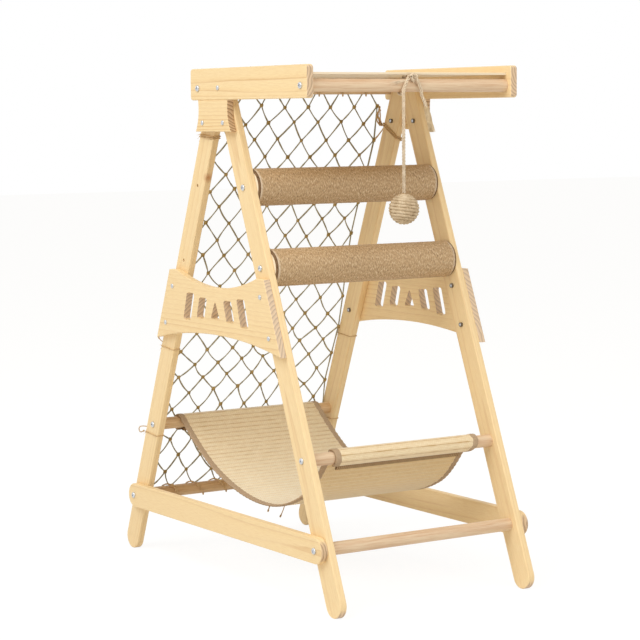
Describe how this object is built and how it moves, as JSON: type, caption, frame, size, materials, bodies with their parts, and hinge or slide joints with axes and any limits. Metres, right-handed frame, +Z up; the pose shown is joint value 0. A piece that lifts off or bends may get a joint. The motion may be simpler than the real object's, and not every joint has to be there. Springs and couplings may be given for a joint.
{
  "type": "pet climbing frame",
  "caption": "A-frame pet climbing stand of pine boards and dowels with a top shelf, sisal scratching posts, slung woven hammock, knotted rear net and hanging rope ball.",
  "frame": {"origin": "on the floor, in the middle of the four feet", "axes": "+X from the left side frame to the right one, +Y rearwards, +Z up"},
  "size_m": [0.4918, 0.8462, 1.022],
  "materials": {
    "pine": "clear satin",
    "dowel_wood": "plain sanded",
    "plywood": "plain sanded",
    "cardboard_tube": "plain",
    "sisal_cloth": "coarse woven",
    "woven_mat": "ribbed weave",
    "binding_tape": "woven tape",
    "net_cord": "twisted cord",
    "sisal_rope": "twisted rope",
    "ball_wood": "plain",
    "steel": "zinc plated",
    "zinc": "plated"
  },
  "bodies": {
    "frame": {"left_front_leg": "pine", "left_rear_leg": "pine", "left_top_beam": "pine", "left_apex_plate": "pine", "left_side_plate": "pine", "left_base_rail": "pine", "right_front_leg": "pine", "right_rear_leg": "pine", "right_top_beam": "pine", "right_apex_plate": "pine", "right_side_plate": "pine", "right_base_rail": "pine", "top_shelf": "plywood", "front_top_dowel": "dowel_wood", "front_hammock_dowel": "dowel_wood", "front_base_dowel": "dowel_wood", "rear_top_dowel": "dowel_wood", "rear_hammock_dowel": "dowel_wood", "rear_base_dowel": "dowel_wood", "upper_post_tube": "cardboard_tube", "upper_post_cover": "sisal_cloth", "lower_post_tube": "cardboard_tube", "lower_post_cover": "sisal_cloth", "post_plugs": "plywood", "threaded_inserts": "zinc", "dowel_bolts": "steel", "plate_bolts": "steel", "plate_nuts": "steel", "beam_screws": "steel", "hammock_mat": "woven_mat", "hammock_left_binding": "binding_tape", "hammock_right_binding": "binding_tape", "hammock_end_hems": "binding_tape", "net": "net_cord", "net_top_lashing": "net_cord", "net_bottom_lashing": "net_cord", "left_net_ties": "net_cord", "right_net_ties": "net_cord", "toy_loop": "sisal_rope", "toy_knot": "sisal_rope"},
    "ball_toy": {"toy_cord": "sisal_rope", "ball_core": "ball_wood", "ball_winding": "sisal_rope"},
    "toy_tail": {"tail_cord": "sisal_rope", "tail_tassel": "sisal_rope"}
  },
  "joints": [
    {"name": "ball_swing", "type": "hinge", "parent": "frame", "child": "ball_toy", "pos_m": [-0.024, -0.3421, 0.9685], "axis": [1, 0, 0], "range_deg": [-70, 70]},
    {"name": "tail_swing", "type": "hinge", "parent": "frame", "child": "toy_tail", "pos_m": [0.017, -0.3421, 0.9685], "axis": [1, 0, 0], "range_deg": [-70, 70]}
  ]
}
